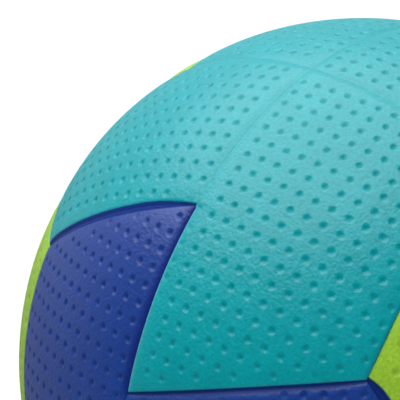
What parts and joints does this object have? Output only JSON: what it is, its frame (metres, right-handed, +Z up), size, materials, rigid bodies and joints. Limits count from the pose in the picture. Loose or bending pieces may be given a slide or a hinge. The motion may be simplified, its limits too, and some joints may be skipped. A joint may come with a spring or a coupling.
{
  "type": "handball",
  "caption": "Inflated handball with a cover of equal bonded foam panels in turquoise, blue and lime, a wound carcass, a bladder and a needle valve.",
  "frame": {"origin": "middle of the ball", "axes": "+Z up through the middle of the top turquoise face; -Y through the front blue face; +X through the right lime face"},
  "size_m": [0.175, 0.175, 0.175],
  "materials": {
    "turquoise_cover": "soft matte foamed vinyl with small embossed dimples",
    "blue_cover": "soft matte foamed vinyl with small embossed dimples",
    "lime_cover": "soft matte foamed vinyl with small embossed dimples",
    "carcass_rubber": "moulded rubber coat",
    "winding_thread": "wound nylon thread",
    "bladder_rubber": "butyl rubber",
    "valve_rubber": "moulded rubber",
    "plug_rubber": "soft moulded rubber"
  },
  "bodies": {
    "root": {"turquoise_top_panel_1": "turquoise_cover", "turquoise_top_panel_2": "turquoise_cover", "turquoise_top_panel_3": "turquoise_cover", "turquoise_top_panel_4": "turquoise_cover", "turquoise_bottom_panel_1": "turquoise_cover", "turquoise_bottom_panel_2": "turquoise_cover", "turquoise_bottom_panel_3": "turquoise_cover", "turquoise_bottom_panel_4": "turquoise_cover", "blue_front_panel_1": "blue_cover", "blue_front_panel_2": "blue_cover", "blue_front_panel_3": "blue_cover", "blue_front_panel_4": "blue_cover", "blue_back_panel_1": "blue_cover", "blue_back_panel_2": "blue_cover", "blue_back_panel_3": "blue_cover", "blue_back_panel_4": "blue_cover", "lime_right_panel_1": "lime_cover", "lime_right_panel_2": "lime_cover", "lime_right_panel_3": "lime_cover", "lime_right_panel_4": "lime_cover", "lime_left_panel_1": "lime_cover", "lime_left_panel_2": "lime_cover", "lime_left_panel_3": "lime_cover", "lime_left_panel_4": "lime_cover", "rubber_carcass": "carcass_rubber", "thread_winding": "winding_thread", "bladder": "bladder_rubber", "valve_housing": "valve_rubber", "valve_plug": "plug_rubber"}
  },
  "joints": []
}
